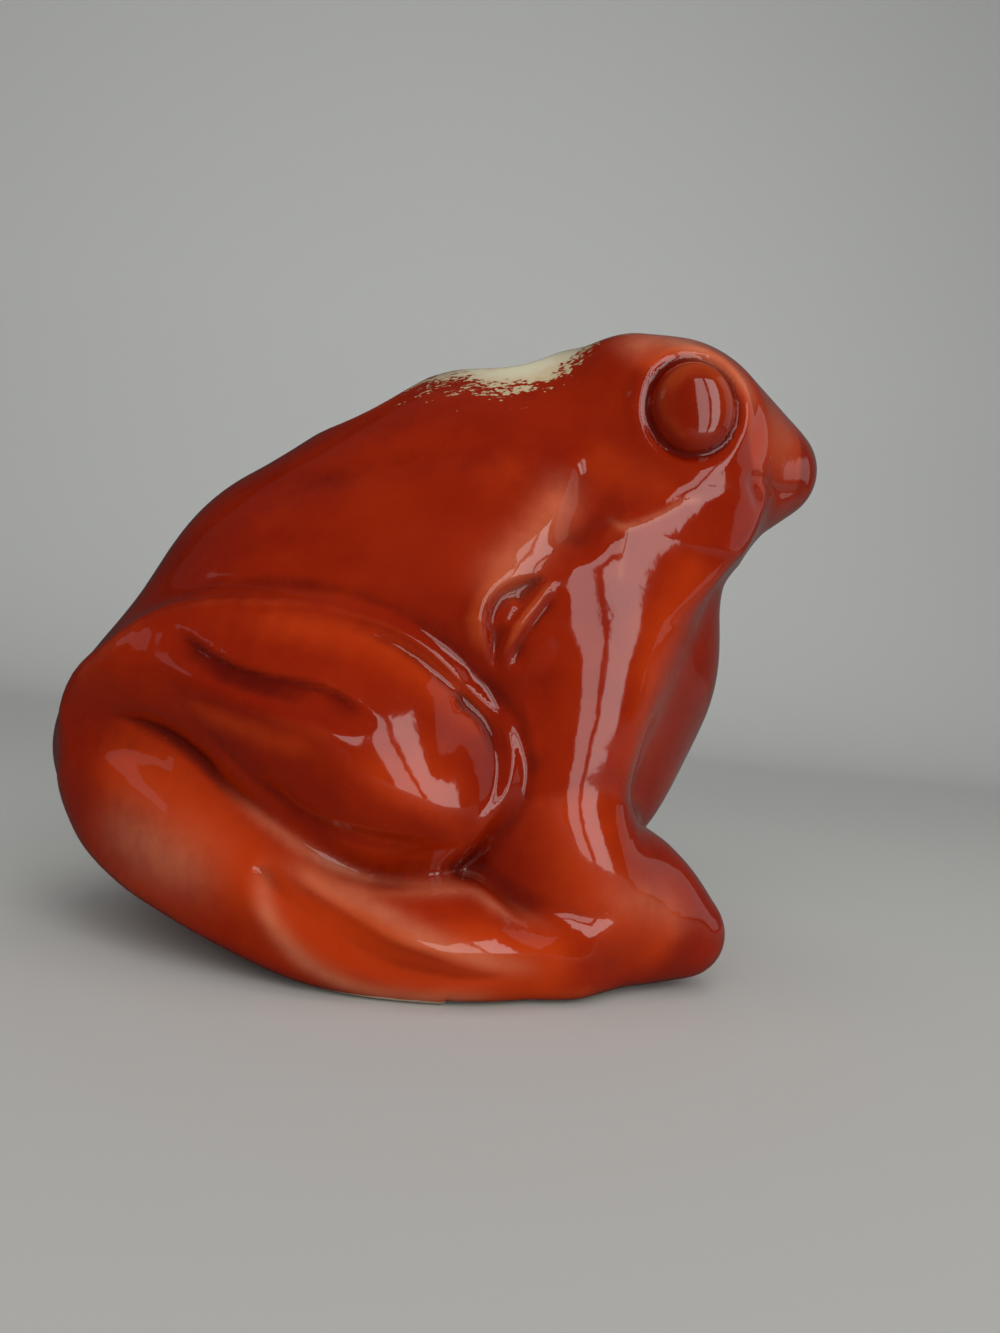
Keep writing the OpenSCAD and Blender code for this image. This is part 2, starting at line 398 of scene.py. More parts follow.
# The scooped sole beside the foot, and the pocket behind the elbow
SCOOP = [
    (-17.9, 12), (-16.4, 12.3), (-14.2, 11.3), (-10.8, 9.7), (-7.4, 8.2), (-3.7, 6.7), (0.1, 5.6),
    (3.9, 4.4), (7.6, 3.4), (3.5, 2.2), (-1, 2), (-4.7, 2.5), (-8, 3.7), (-11.3, 5.3), (-14.3, 7),
    (-16.6, 8.8), (-17.8, 10.5),
]
SCOOP_DEEP = 0.9
SCOOP_EDGE = 3.2
POCKET = [
    (7.6, 43.2), (4.8, 42.4), (2.9, 40.8), (2.2, 38.4), (2.7, 36), (3.7, 33.6), (4.3, 35.2),
    (4.9, 37.2), (6, 39.3), (7.3, 41.4),
]
POCKET_DEEP = 0.75
POCKET_EDGE = 1.2
# How far outside its outline the pocket starts, in widths of its edge
POCKET_START = 0.4
# Creases and ridges in millimetres, as folds() takes them
CREASES = [
    # the fold across the thigh, sharp above and open below, and the ridge under it
    ([(-30, 34.4), (-27.8, 33.4), (-26, 32.4), (-24, 31.4), (-21.5, 30.5), (-17.8, 30), (-14.6, 29.8),
      (-12.1, 29.2), (-10, 28.1), (-7, 26.2)], -0.75, 0.3, 2.3, 0.2),
    ([(-30.5, 30.6), (-27.5, 29.9), (-23.5, 28.6), (-19.5, 27.4), (-15.5, 26.2), (-11.5, 25.2),
      (-8, 24.4)], 0.55, 1.3, 1.8, 0.2),
    # the knee's lower edge
    ([(-19.5, 21.6), (-16.5, 19.2), (-14.1, 17.6), (-11.6, 16.6), (-9.1, 16.1), (-5.9, 15.7), (-2.6, 15.6),
      (-0.6, 15.8)], -0.35, 0.4, 1.5, 0.2),
    # the slot where the leg folds on itself
    ([(-35.8, 24), (-34.4, 24.1), (-31.6, 24), (-28.4, 23.1), (-25, 21.3), (-22, 19)], -0.55, 0.45, 0.4,
      0.25),
    # the lip of the shin
    ([(-36, 23.2), (-30.3, 22.2), (-26.2, 20.3), (-21.5, 17.4), (-17.7, 15.6), (-15.2, 14.4), (-13, 12.8),
      (-10.6, 11.2), (-7.8, 10.2)], 0.35, 0.5, 1.2, 0.15),
    # the two ridges of the scooped sole
    ([(-17.6, 13.1), (-14.2, 11.9), (-10.8, 10.3), (-7.4, 8.8), (-3.7, 7.3), (0.1, 6.2), (3.9, 5)], 0.45,
      1.2, 0.9, 0.3),
    ([(-19, 12.2), (-18.8, 10.2), (-17.2, 7.9), (-14.6, 5.9), (-11.3, 4.1), (-8, 2.6), (-4.7, 1.4)], 0.35,
      0.9, 1.5, 0.25),
    # a bump in the pocket, a rolled edge on either side of it and a recess before the foreleg
    ([(5.6, 40.9), (4.4, 39), (3.9, 37)], 0.55, 0.75, 0.75, 0.35),
    ([(7.4, 44.2), (4.6, 43.1), (2.4, 41.5), (1.3, 39.7), (1, 37.7), (1.7, 35.6), (3, 33.6)], 0.3, 1.3,
      1.2, 0.25),
    ([(9, 43.4), (7.2, 41.3), (5.8, 39), (4.9, 37.1), (4.2, 35.2), (4, 33.2)], 0.3, 0.75, 0.7, 0.2),
    ([(9.6, 42.3), (8.4, 40.2), (6.9, 37.7), (6, 35.6), (5.5, 32.9)], -0.6, 0.9, 0.55, 0.25),
    # the round top of the foreleg, which stands out of the neck
    ([(8.2, 43), (9.3, 44.6), (10.2, 45.6), (11.4, 46.3), (12.8, 46.7), (14.4, 46.6)], -0.25, 1.5, 0.8,
      0.35),
    # the flank's rounded front edge, and the valley between it and the neck
    ([(10.6, 57.5), (9.9, 54.5), (8.4, 50.7), (5.9, 47.2), (3, 43.6), (1.3, 39.9), (1.9, 36.2),
      (3.6, 33.1)], 0.35, 2.2, 1.5, 0.25),
    ([(12.2, 58.4), (11.6, 55.2), (11.1, 52), (10.2, 48.4), (8.8, 45.6)], -0.6, 2.2, 1.3, 0.3),
    # the foreleg's back edge beside the knee
    ([(6.4, 31), (7.4, 28.7), (8.3, 26.4), (9.1, 23.7)], 0.3, 0.6, 0.6, 0.35),
    # the hollow between the foreleg and the belly
    ([(22.9, 33.4), (22, 29.4), (21.1, 25), (20.7, 21.7), (21.1, 19), (22.6, 17.2)], -0.6, 1.3, 1.2, 0.3),
    # the line under the jaw
    ([(14.6, 51), (16.2, 50.4), (18.2, 51.3), (20.6, 52.7), (22.6, 54), (25.4, 54.8), (28.8, 56.4)], -0.2,
      1.2, 0.5, 0.3),
    # the wrist
    ([(11.4, 9.8), (14, 9.2), (16.4, 9), (19, 9.4), (21.2, 10.6)], -0.25, 1.2, 1.2, 0.35),
    # the soft line along the back's edge
    ([(-26, 47.6), (-17, 51.4), (-8.1, 54.2), (2, 56.8), (11, 58.4)], -0.5, 2.2, 1.8, 0.3),
    # the mouth, and the crease from its corner to the throat
    ([(29.6, 57.7), (31.9, 57.8), (33.8, 57.9), (35.9, 57.8), (37.8, 58.3), (39.8, 59.1), (41.8, 60.2)],
      -0.6, 0.45, 0.9, 0.15),
    ([(29.2, 58), (30.4, 56.8), (31.6, 55.3), (32.2, 53.4)], -0.6, 0.9, 0.8, 0.4),
]


def relief():
    """Creases and ridges, as millimetres out from the surface."""
    out = folds(CREASES)
    rim = outline(THIGH)
    high = rise(SHEET_Z, *ROLL_FROM_Z) * rise(SHEET_X, *ROLL_FROM_X)
    for height, place, width in THIGH_ROLL:
        out += height * np.exp(-((rim - place) / width) ** 2) * high
    scoop = np.clip(1 + outline(SCOOP) / SCOOP_EDGE, 0, 1)
    out -= SCOOP_DEEP * np.where(scoop < 1, 1 - scoop ** 2, 0)
    out -= POCKET_DEEP * ease(POCKET_START - outline(POCKET) / POCKET_EDGE)
    return out


# Up to 1: where the glaze ran thin and shows orange, and painted sheen; down to -1: painted shade
THIN_GLAZE_AND_LIGHT = [
    # the shin and foot, the knee, the ridge across the thigh and the thigh's edge
    ([(-38.5, 20), (-30, 18.4), (-22, 14), (-14, 8.6), (-4, 5.2), (8, 3.4), (17, 3.2)], 0.75, 4.5, 5, 0.1),
    ([(-13, 18.5), (-8.5, 19), (-4, 20), (0, 21.5), (4, 24)], 0.7, 6, 6, 0.45),
    ([(-31, 28.4), (-27.5, 27.4), (-23.5, 26), (-19.5, 24.9), (-15.5, 23.9), (-10, 23.2)], 0.55, 1.6, 1.4,
      0.3),
    ([(-24, 35.6), (-15, 35.8), (-7.5, 34.4), (-1.5, 31.4), (2.8, 27.6), (4.4, 23.5)], 0.55, 1.5, 2.8,
      0.2),
    # the wrist and front foot, the belly's edge, the snout, the brow and the front edge of the flank
    ([(12.6, 24), (14, 17), (17, 11), (22, 8), (28, 5.5)], 0.65, 5, 4.5, 0.15),
    ([(25.5, 50), (23, 44), (21.5, 37), (20.4, 30), (19.6, 22)], 0.5, 3.5, 2.5, 0.15),
    ([(29, 61), (34, 62.5), (40, 62.8)], 0.7, 5, 5, 0.1),
    ([(16.5, 66.5), (18, 69.6), (20.7, 71), (23.5, 71.2), (26.6, 70.2), (29, 67.8), (30.2, 64.6)], 0.7,
      1.6, 1.8, 0.15),
    ([(9.5, 54.5), (8, 50.7), (5.6, 47.2), (3, 43.6), (1.3, 39.9)], 0.45, 3.5, 2.5, 0.2),
    # painted sheen on the cheek, the upper flank, the foot's upper side and the chest beside the foreleg
    ([(9, 58.5), (14, 56.5), (19, 55.2), (23.5, 56.6)], 0.4, 3.2, 3, 0.3),
    ([(-3, 52.5), (2.5, 54.5), (7.5, 53.5)], 0.35, 4.5, 4.5, 0.4),
    ([(0, 8.2), (5, 6.4), (9, 5.2), (15, 6)], 0.5, 2.2, 1.8, 0.3),
    ([(20.5, 44), (19, 38), (18, 31)], 0.3, 2.6, 2.6, 0.3),
    # painted shade on the thigh, under the knee, low on the flank, along the back and on the foreleg
    ([(-33, 31), (-26, 29.2), (-19, 28.8), (-12, 27.6)], -0.8, 2.6, 2.2, 0.35),
    ([(-16, 20.8), (-9, 18.2), (-3, 16.6), (2, 16.6)], -0.8, 2.2, 2.4, 0.35),
    ([(-26, 40.6), (-14, 42.6), (-6, 41.8), (0, 38.4)], -0.6, 2.8, 2.6, 0.35),
    ([(-26, 48.6), (-14, 53.4), (-4, 56.8), (7, 60)], -0.55, 2.6, 3.2, 0.35),
    ([(9.6, 40.5), (10, 34), (10.2, 27), (9, 19)], -0.4, 2.6, 2.6, 0.35),
]
# Painted highlights: pale pink lines and patches along ridges and edges
HIGHLIGHT_LINES = [
    # the two ridges round the scooped sole
    ([(-15.4, 12.4), (-16.9, 12), (-16.6, 9.1), (-14.6, 5.9), (-10.8, 2.9), (-5.8, 1.2), (1.2, 0.9),
      (8.3, 1.6)], 0.75, 0.9, 0.9, 0.2),
    ([(-17.1, 12), (-15.2, 12.2), (-10.9, 10.8), (-6.7, 9.5), (-2.3, 7.6), (2.7, 5.9), (7.8, 4.7),
      (12.8, 4.1)], 0.7, 1, 0.9, 0.25),
    # the lip of the shin under the knee
    ([(-24, 19.4), (-16.3, 15.2), (-11.9, 12.9), (-6.9, 11), (-4, 10.7), (-0.8, 11.1), (3.5, 11.3),
      (7.2, 9.4), (13.8, 7.6)], 0.6, 0.5, 0.6, 0.25),
    # the shin and the heel
    ([(-37, 15.5), (-31, 12.6), (-25, 10.8), (-18.5, 9.6)], 0.6, 3.6, 3.2, 0.4),
    # the brow over the eye and the top of the head
    ([(18.6, 70.6), (20.6, 71.2), (24.6, 70.6), (28.4, 67.8), (30.2, 64)], 0.8, 1, 0.9, 0.3),
    ([(13.5, 69), (18, 71.8), (22.5, 73), (26.5, 71.8)], 0.75, 2.4, 1.8, 0.35),
    # the snout
    ([(31, 64.2), (35, 64.4), (39.5, 63.2)], 0.35, 3.5, 4, 0.4),
    # the front edge of the flank
    ([(9.8, 57), (9.2, 52.6), (7.4, 48.8), (4.8, 45.2), (2.6, 41.8), (1.6, 38.8)], 0.55, 2.4, 2.2, 0.3),
    # the line under the jaw, and where the foreleg turns into the chest
    ([(14.2, 50.9), (15.2, 49.7), (16.2, 49.6), (18.2, 50.6), (20.6, 52), (22.4, 53.3), (25.3, 54)], 0.6,
      0.35, 0.35, 0.15),
    ([(16.1, 49.6), (15.9, 47), (15.9, 43)], 0.4, 0.3, 0.3, 0.3),
    # the front foot's top
    ([(15.5, 11), (19.5, 11), (24, 10), (29, 6.5)], 0.35, 2.2, 2, 0.35),
]


def eye_relief():
    """The eyeball, the groove round it and the rolled brow, as millimetres out."""
    u, v = SHEET_X - EYE[0], SHEET_Z - EYE[1]
    dist = np.hypot(u / EYE_OVAL, v)
    lid = 0.5 + 0.5 * np.cos(np.arctan2(v, u) - LID_TURN)
    on_ball = ease((EYE_GROOVE - dist) / EYE_EDGE)
    out = EYE_DOME_HIGH * np.sqrt(np.clip(1 - (dist / EYE_DOME_R) ** EYE_DOME_POWER, 0, 1))
    out += on_ball * (EYE_FLAT[0] * u ** 2 + EYE_FLAT[1] * v ** 2 + EYE_TILT[0] * u + EYE_TILT[1] * v)
    out -= EYE_GROOVE_DEEP * np.exp(-((dist - EYE_GROOVE) / EYE_GROOVE_WIDE) ** 2)
    out += (BROW_HIGH + LID_HIGH * lid) * np.exp(-((dist - BROW_RING) / BROW_WIDE) ** 2)
    return out


# The well, the brush holes, with the x and z halfway between them, and the pour hole in the floor
WALL = 4.5
FLOOR = 4.5
WELL_BLEND = 2.0
BRUSH_MIDDLE = (-4.5, 68.5)
BRUSH_PITCH = 18.0
BRUSH_LEAN = 22.0
BRUSH_HOLE_R = 6.5
BRUSH_HOLE_DEEP = 18
BRUSH_HOLE_BLEND = 1.6
POUR_HOLE_X = -4.0
POUR_HOLE_R = 8.0
POUR_HOLE_TOP = 10
POUR_HOLE_BLEND = 1.2
RIM_ROUND = 2.2


def cavity(p):
    """The well, the two brush holes that lead to it, and the hole in its floor."""
    well = smooth_max(torso(p) + WALL, FLOOR - p[:, 2], WELL_BLEND)
    lean = np.radians(BRUSH_LEAN)
    up = np.array([-np.sin(lean), np.cos(lean)])
    along = np.array([np.cos(lean), np.sin(lean)])
    for place in (-0.5, 0.5):
        foot = np.array(BRUSH_MIDDLE) + place * BRUSH_PITCH * along
        x, z = p[:, 0] - foot[0], p[:, 2] - foot[1]
        across = np.hypot(x * along[0] + z * along[1], p[:, 1])
        depth = x * up[0] + z * up[1]
        bore = np.maximum(across - BRUSH_HOLE_R, -BRUSH_HOLE_DEEP - depth)
        well = smooth_min(well, bore, BRUSH_HOLE_BLEND)
    pour = np.hypot(p[:, 0] - POUR_HOLE_X, p[:, 1]) - POUR_HOLE_R
    return smooth_min(well, np.maximum(pour, p[:, 2] - POUR_HOLE_TOP), POUR_HOLE_BLEND)


# How softly members run together: EDGE rounds a limb's own edges and BLEND its joint with the body, and
# those named for a place are added there
NECK_BLEND = 7.0
ARM_EDGE = 1.6
ARM_EDGE_CHEST = 3.0
ARM_BLEND = 2.0
ARM_BLEND_CHEST = 1.5
ARM_BLEND_JAW = 4.0
FOOT_BLEND = 2.5
SHIN_EDGE = 2.2
THIGH_EDGE = 2.0
HIND_BLEND = 2.2
HIND_BLEND_RUMP = 3.8
# Where the wider joints start and over what length they widen, counted the other way in BELOW and BEHIND
CHEST_FROM_X = (15, 5)
CHEST_BELOW_Z = (-47, 7)
JAW_FROM_X = (12, 4)
JAW_FROM_Z = (45, 4)
RUMP_BEHIND_X = (28, 12)
# A limb's sides slope, so the distance is less than the height
LIMB_LEAN = 0.85
# The flat part underneath: its middle in x and half lengths, how steeply the underside rises behind it,
# and how softly
SEAT = (1.82, 21.32, 31.16)
SEAT_RISE = 0.47
SEAT_SOFT = 3.0
SEAT_LEAN = 0.9
SEAT_EDGE = 1.6
# How far the two halves are rounded into each other, and where the relief starts, in y
MIDDLE_ROUND = 1.0
RELIEF_FROM = 5.0
RELIEF_OVER = 8.0


def limb(p, sheets, name, edge):
    """Distance to a limb that is as high as one sheet says, within the outline of another."""
    return smooth_max(LIMB_LEAN * (p[:, 1] - read(sheets[name + "_up"], p)), read(sheets[name], p), edge)


def outside(p, sheets):
    """Distance to the frog's outer surface, without the well."""
    body = smooth_min(torso(p), head(p), NECK_BLEND)
    chest = rise(p[:, 0], *CHEST_FROM_X) * rise(-p[:, 2], *CHEST_BELOW_Z)
    jaw = rise(p[:, 0], *JAW_FROM_X) * rise(p[:, 2], *JAW_FROM_Z)
    arm = limb(p, sheets, "arm", ARM_EDGE + ARM_EDGE_CHEST * chest)
    body = smooth_min(body, arm, ARM_BLEND + ARM_BLEND_CHEST * chest + ARM_BLEND_JAW * jaw)
    body = smooth_min(body, front_foot(p), FOOT_BLEND)
    hind = HIND_BLEND + HIND_BLEND_RUMP * ease(rise(-p[:, 0], *RUMP_BEHIND_X))
    body = smooth_min(body, limb(p, sheets, "shin", SHIN_EDGE), hind)
    body = smooth_min(body, limb(p, sheets, "thigh", THIGH_EDGE), hind)
    mid_x, half_x, half_y = SEAT
    away = np.hypot((p[:, 0] - mid_x) / half_x, p[:, 1] / half_y)
    away = np.where(p[:, 0] < mid_x, (away - 1) * half_x, 0)
    under = (SEAT_RISE * smooth_max(away, 0 * away, SEAT_SOFT) - p[:, 2]) * SEAT_LEAN
    return smooth_max(body, under, SEAT_EDGE)


def pressed(q, sheets):
    """Points of one side, with the relief taken off their distance from the middle plane."""
    p = q.copy()
    p[:, 1] = np.sqrt(p[:, 1] ** 2 + MIDDLE_ROUND ** 2)
    side = ease((p[:, 1] - RELIEF_FROM) / RELIEF_OVER)
    p[:, 1] -= (read(sheets["relief"], p) + read(sheets["eye"], p)) * side
    return p


def form(q, sheets):
    """Distance to the whole surface, well and holes included, negative in the clay."""
    return smooth_max(outside(pressed(q, sheets), sheets), -cavity(q), RIM_ROUND)


# How far from a point the form is read for its slope, and the least square of a slope that counts
SLOPE_STEP = 0.12
LEAST_SLOPE = 0.05
# How many rounds the squares take to settle on the surface, and again after they are split in four
SETTLE_ROUNDS = 3
FINE_ROUNDS = 2


def slope(points, sheets, step=SLOPE_STEP):
    """The form's slope at points, and the sum of its values one step away, both ways along each axis."""
    out = np.empty_like(points)
    total = np.zeros(len(points))
    for axis in range(3):
        shift = np.zeros(3)
        shift[axis] = step
        ahead, behind = form(points + shift, sheets), form(points - shift, sheets)
        out[:, axis] = (ahead - behind) / (2 * step)
        total += ahead + behind
    return out, total


# The box searched for the surface: its lowest x and z, and its lengths
SKIN_X, SKIN_Z = -48.0, -2.5
SKIN_SPAN = np.array([96.0, 34.0, 84.0])


def skin(sheets, pitch):
    """Wraps the +y half of the form in squares, with a point in each cell that the surface crosses."""
    low = np.array([SKIN_X, -0.5 * pitch, SKIN_Z])
    count = np.ceil(SKIN_SPAN / pitch).astype(int) + 1
    value = np.empty(count)
    x, y, z = [low[axis] + pitch * np.arange(count[axis]) for axis in range(3)]
    for i in range(count[0]):
        sheet = np.stack(np.meshgrid(x[i], y, z, indexing="ij"), -1)
        value[i] = form(sheet.reshape(-1, 3), sheets).reshape(count[1:])
    corners = [(i, j, k) for i in (0, 1) for j in (0, 1) for k in (0, 1)]
    cut = [slice(0, -1), slice(1, None)]
    block = np.stack([value[cut[i], cut[j], cut[k]] for i, j, k in corners])
    count_in = (block < 0).sum(0)
    crossed = (count_in > 0) & (count_in < 8)
    number = -np.ones(crossed.shape, int)
    number[crossed] = np.arange(crossed.sum())
    total = np.zeros((crossed.sum(), 3))
    hits = np.zeros(crossed.sum())
    vals = block[:, crossed]
    place = np.array(corners, float)
    for a in range(8):
        for b in range(a + 1, 8):
            if np.abs(place[a] - place[b]).sum() != 1:
                continue
            ok = (vals[a] < 0) != (vals[b] < 0)
            t = np.where(ok, vals[a] / np.where(ok, vals[a] - vals[b], 1), 0)
            total += ok[:, None] * (place[a] + t[:, None] * (place[b] - place[a]))
            hits += ok
    cells = np.argwhere(crossed)
    points = low + pitch * (cells + total / hits[:, None])
    solid = value < 0
    faces = []
    for axis in range(3):
        u, v = (axis + 1) % 3, (axis + 2) % 3
        here = [slice(1, -1)] * 3
        there = [slice(1, -1)] * 3
        here[axis], there[axis] = slice(0, -1), slice(1, None)
        inner, outer = solid[tuple(here)], solid[tuple(there)]
        at = np.argwhere(inner != outer)
        out_ahead = inner[tuple(at.T)]
        ring = []
        for du, dv in ((0, 0), (1, 0), (1, 1), (0, 1)):
            c = at.copy()
            c[:, u] += du
            c[:, v] += dv
            ring.append(number[tuple(c.T)])
        ring = np.stack(ring, 1)
        ring[~out_ahead] = ring[~out_ahead][:, ::-1]
        faces.append(ring)
    on_middle = cells[:, 1] == 0
    points[on_middle, 1] = 0
    return points, np.concatenate(faces), on_middle


def settle(points, on_middle, sheets, rounds, most=0.5):
    """Moves the points onto the surface, at most so many millimetres a round."""
    for _ in range(rounds):
        g, _ = slope(points, sheets)
        f = form(points, sheets)
        step = (f / np.maximum((g * g).sum(1), LEAST_SLOPE))[:, None] * g
        size = np.linalg.norm(step, axis=1, keepdims=True)
        points = points - step * np.minimum(1, most / np.maximum(size, 1e-9))
        points[on_middle, 1] = 0
    return points


def refine(points, faces, on_middle):
    """Splits each square in four. on_middle says which points lie on the middle plane."""
    edges = np.concatenate([faces[:, [i, (i + 1) % 4]] for i in range(4)])
    unique, index = np.unique(np.sort(edges, 1), axis=0, return_inverse=True)
    index = index.reshape(-1)
    n, m, k = len(points), len(unique), len(faces)
    middle = points[unique].mean(1)
    centre = points[faces].mean(1)
    side = n + index.reshape(4, k).T
    centres = n + m + np.arange(k)
    quads = [np.stack([faces[:, i], side[:, i], centres, side[:, (i + 3) % 4]], 1) for i in range(4)]
    still = np.concatenate([on_middle, on_middle[unique].all(1), np.zeros(k, bool)])
    return np.concatenate([points, middle, centre]), np.concatenate(quads), still


MM = 0.001
PITCH = 0.9
# The skin's pieces by the CAD node's name, without its side: name, slot, and whether there are two
MEMBERS = {
    "body_shell": ("flank_glazed", "red_glaze", True),
    "head": ("head_glazed", "red_glaze", False),
    "eye": ("eye_glazed", "red_glaze_deep", True),
    "thigh": ("thigh_glazed", "red_glaze", True),
    "hind_foot": ("hind_foot_glazed", "red_glaze", True),
    "foreleg": ("foreleg_glazed", "red_glaze", True),
    "front_foot": ("front_foot_glazed", "red_glaze", True),
    "back_saddle": ("back_with_brush_holes", "cream_glaze", False),
    "base_floor": ("unglazed_underside", "bare_clay", False),
    "well": ("well_lining", "cream_glaze", False),
}
NUMBER = {member: number for number, member in enumerate(MEMBERS)}
# Distance for a member told by its place instead, and where each of those begins
NOT_BY_DISTANCE = 50.0
EYE_FROM_Y = 14
SADDLE_R = 12.0
SADDLE_DEEP = 8
SADDLE_AHEAD = 9
UNDERSIDE_Z = 0.35
UNDERSIDE_FACING = -0.6
WELL_MARGIN = 0.1
WELL_BELOW = 4


def members(points, normals, sheets):
    """Which member each point belongs to, by number."""
    p = pressed(points, sheets)
    distances = np.stack([
        torso(p), head(p), np.full(len(p), NOT_BY_DISTANCE), limb(p, sheets, "thigh", THIGH_EDGE),
        limb(p, sheets, "shin", SHIN_EDGE), limb(p, sheets, "arm", ARM_EDGE), front_foot(p)])
    which = distances.argmin(0)
    eye_round = np.hypot(p[:, 0] - EYE[0], p[:, 2] - EYE[1])
    which[(eye_round < EYE_GROOVE) & (p[:, 1] > EYE_FROM_Y)] = NUMBER["eye"]
    lean = np.radians(BRUSH_LEAN)
    x, z = p[:, 0] - BRUSH_MIDDLE[0], p[:, 2] - BRUSH_MIDDLE[1]
    along = x * np.cos(lean) + z * np.sin(lean)
    outward = -x * np.sin(lean) + z * np.cos(lean)
    reach = np.hypot(np.maximum(np.abs(along) - 0.5 * BRUSH_PITCH, 0), p[:, 1])
    on_saddle = (reach < SADDLE_R) & (outward > -SADDLE_DEEP) & (along < 0.5 * BRUSH_PITCH + SADDLE_AHEAD)
    on_saddle &= np.isin(which, [NUMBER["body_shell"], NUMBER["head"]])
    which[on_saddle] = NUMBER["back_saddle"]
    underneath = (points[:, 2] < UNDERSIDE_Z) & (normals[:, 2] < UNDERSIDE_FACING)
    which[underneath] = NUMBER["base_floor"]
    inner = (-cavity(points) > outside(p, sheets) + WELL_MARGIN) & (outward < -WELL_BELOW)
    which[inner] = NUMBER["well"]
    return which


# The cream sprayed along the back: x, half its width there, and how solid it is
CREAM_X = [-30, -20, -13, -8, -3, 1, 5, 10, 12.5, 15, 19, 24, 30]
CREAM_HALF = [1.5, 5, 8, 9.5, 11, 12, 12.5, 12.5, 11, 9, 8, 6, 3]
CREAM_FULL = [0, 0.10, 0.36, 0.50, 0.72, 0.95, 1, 1, 0.80, 0.45, 0.42, 0.34, 0]
CREAM_EDGE = 7.5
# The direction that the cream was sprayed from, above and a little behind
SPRAY_X, SPRAY_Z = -0.37, 0.93
# Where each of these starts, and over how much it rises: how far the surface faces the spray, how low it
# lies and how far it faces down where it is bare, how deep under the outside it is lining, and how far it
# faces sideways where the thin glaze, the painted sheen and shade, and the painted highlights are laid
FACES_SPRAY = (0.35, 0.3)
BARE_BELOW_Z = (-0.9, 0.7)
BARE_FACES_DOWN = (0.35, 0.3)
LINING_DEEP = (0.6, 0.8)
FACES_SIDEWAYS = (0.1, 0.4)
# How hollow the surface is: each attribute's reach in millimetres and its gain
HOLLOWS = [("hollow_fine", 0.7, 0.55), ("hollow_broad", 2.2, 1.4)]


def glaze_and_light_values(points, normals, sheets):
    """What the glaze needs to know at each point, as one attribute for each label."""
    level = form(points, sheets)
    values = {}
    for label, reach, gain in HOLLOWS:
        _, total = slope(points, sheets, reach)
        values[label] = np.clip((6 * level - total) / reach ** 2 * gain, -1, 1)
    x, y, z = points[:, 0], np.abs(points[:, 1]), points[:, 2]
    half_width = np.interp(x, CREAM_X, CREAM_HALF)
    cream = np.clip(0.5 + (half_width - y) / CREAM_EDGE, 0, 1)
    facing_up = rise(normals[:, 2] * SPRAY_Z + normals[:, 0] * SPRAY_X, *FACES_SPRAY)
    values["cream"] = cream * facing_up * np.interp(x, CREAM_X, CREAM_FULL)
    values["bare"] = rise(-z, *BARE_BELOW_Z) * rise(-normals[:, 2], *BARE_FACES_DOWN)
    values["inner"] = rise(-outside(pressed(points, sheets), sheets), *LINING_DEEP)
    sideways = rise(np.abs(normals[:, 1]), *FACES_SIDEWAYS)
    # the thin glaze's orange with painted sheen and painted shade, and the painted highlights, on the
    # sides
    for label in ("thin_glaze_and_light", "painted_highlight"):
        values[label] = read(sheets[label], points) * sideways
    return values


def put(name, data):
    """An object in the scene, made of a mesh, a light or a camera."""
    obj = bpy.data.objects.new(name, data)
    scene.collection.objects.link(obj)
    return obj


def piece(name, points, faces, normals, values, material):
    """An object of some of the skin's squares, with the whole skin's normals and values."""
    used, faces = np.unique(faces, return_inverse=True)
    faces = faces.reshape(-1, 4)
    mesh = bpy.data.meshes.new(name)
    mesh.vertices.add(len(used))
    mesh.vertices.foreach_set("co", (points[used] * MM).ravel())
    mesh.loops.add(faces.size)
    mesh.loops.foreach_set("vertex_index", faces.ravel().astype(np.int32))
    mesh.polygons.add(len(faces))
    mesh.polygons.foreach_set("loop_start", np.arange(0, faces.size, 4, dtype=np.int32))
    mesh.polygons.foreach_set("use_smooth", np.ones(len(faces), bool))
    mesh.update(calc_edges=True)
    mesh.validate()
    mesh.normals_split_custom_set_from_vertices(normals[used])
    for label, value in values.items():
        layer = mesh.attributes.new(label, "FLOAT", "POINT")
        layer.data.foreach_set("value", value[used].astype(np.float32))
    mesh.materials.append(material)
    return put(name, mesh)


def half_skin(sheets):
    """The left half's points and squares, and which points lie on the middle plane."""
    points, faces, on_middle = skin(sheets, PITCH)
    points = settle(points, on_middle, sheets, SETTLE_ROUNDS)
    points, faces, on_middle = refine(points, faces, on_middle)
    return settle(points, on_middle, sheets, FINE_ROUNDS), faces, on_middle


def model_frog(glazes):
    sheets = make_sheets()
    points, faces, on_middle = half_skin(sheets)
    normals, _ = slope(points, sheets)
    normals /= np.linalg.norm(normals, axis=1, keepdims=True)
    normals[on_middle, 1] = 0
    values = glaze_and_light_values(points, normals, sheets)
    which = members(points, normals, sheets)
    votes = which[faces]
    face_of = np.where((votes == votes[:, :1]).sum(1) >= 2, votes[:, 0], votes[:, 2])
    # the right side, at -y, is the photographed one, and both share the points on the middle plane
    mirror = np.array([1, -1, 1])
    count = len(points)
    both = np.concatenate([points * mirror, points])
    both_normals = np.concatenate([normals * mirror, normals])
    both_values = {label: np.concatenate([value, value]) for label, value in values.items()}
    join = np.arange(2 * count)
    join[count:][on_middle] = np.arange(count)[on_middle]
    right, left = faces[:, ::-1], join[faces + count]
    for member, (name, slot, two) in MEMBERS.items():
        chosen = face_of == NUMBER[member]
        sides = [("_right", right[chosen]), ("_left", left[chosen])]
        if not two:
            sides = [("", np.concatenate([right[chosen], left[chosen]]))]
        for side, squares in sides:
            obj = piece(name + side, both, squares, both_normals, both_values, glazes[slot])
            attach(obj, "root")
            if member != "well":
                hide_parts(member + side)


# Glaze


